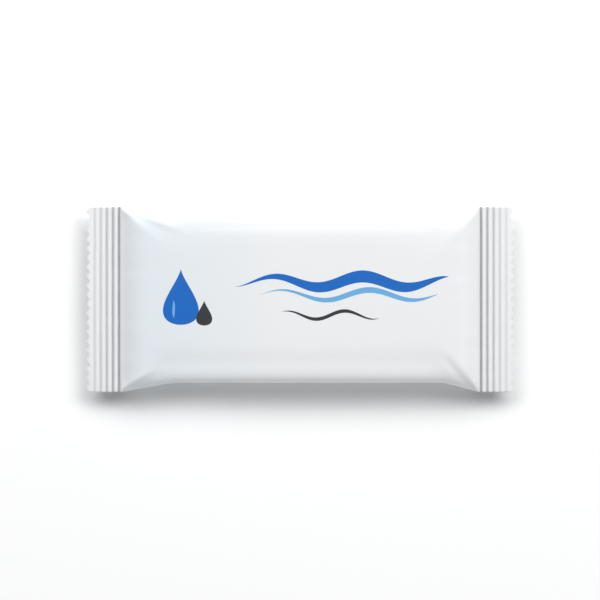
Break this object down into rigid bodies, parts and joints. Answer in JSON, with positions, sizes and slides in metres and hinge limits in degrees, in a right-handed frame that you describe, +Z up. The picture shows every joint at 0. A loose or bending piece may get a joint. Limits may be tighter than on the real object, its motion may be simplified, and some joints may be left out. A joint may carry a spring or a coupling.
{
  "type": "single wet wipe sachet",
  "caption": "Pillow-shaped sealed film sachet that holds a folded wet wipe, with a crimped, zigzag-cut seal across each end and a fin seam folded flat on its back.",
  "frame": {"origin": "middle of the flat band on the back that the sachet rests on", "axes": "+X along the length, from one crimped end to the other; +Y across it, towards the long side that the fin's free edge faces; +Z up, out of the printed front"},
  "size_m": [0.127, 0.055, 0.0089],
  "materials": {
    "film": "satin-gloss laminated film, white inside the laminate, with a plain printed motif in blue and charcoal on the front"
  },
  "bodies": {
    "root": {"sachet": "film"}
  },
  "joints": []
}
